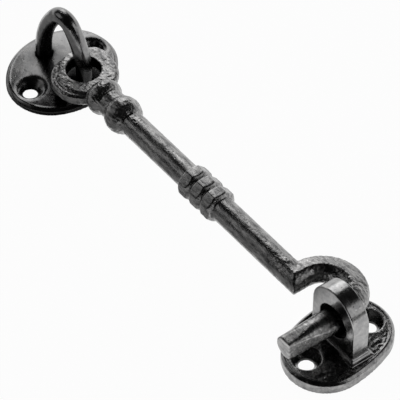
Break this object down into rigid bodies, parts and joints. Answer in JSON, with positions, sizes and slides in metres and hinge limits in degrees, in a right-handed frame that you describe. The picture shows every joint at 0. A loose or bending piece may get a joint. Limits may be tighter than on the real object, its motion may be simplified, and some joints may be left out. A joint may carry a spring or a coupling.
{
  "type": "hook and eye latch",
  "caption": "Black cast-iron cabin hook: a turned arm hangs by its ring on a stapled oval plate, and its crook's pin drops into the ear of an oval keeper plate.",
  "frame": {"origin": "centre of the staple plate's back face, on the wall", "axes": "+X along the arm from the staple to the keeper, +Y the way the pin lifts out of the ear, +Z out of the wall"},
  "size_m": [0.2019, 0.0467, 0.034],
  "materials": {
    "black_casting": "sand-cast iron under a thin black semi-gloss coat",
    "black_bar": "smooth iron under a black gloss coat"
  },
  "bodies": {
    "staple_side": {"staple_plate": "black_casting", "staple": "black_bar"},
    "hook": {"hook_arm": "black_casting"},
    "keeper_side": {"keeper_plate": "black_casting", "keeper_ear": "black_bar"}
  },
  "joints": [
    {"name": "hook_swing", "type": "hinge", "parent": "staple_side", "child": "hook", "pos_m": [0.01251, 0.00154, 0.0116], "axis": [0, 0, 1], "range_deg": [0, 90]},
    {"name": "keeper_pull", "type": "slide", "parent": "staple_side", "child": "keeper_side", "axis": [0, -1, 0], "range_m": [0, 0.04]}
  ]
}
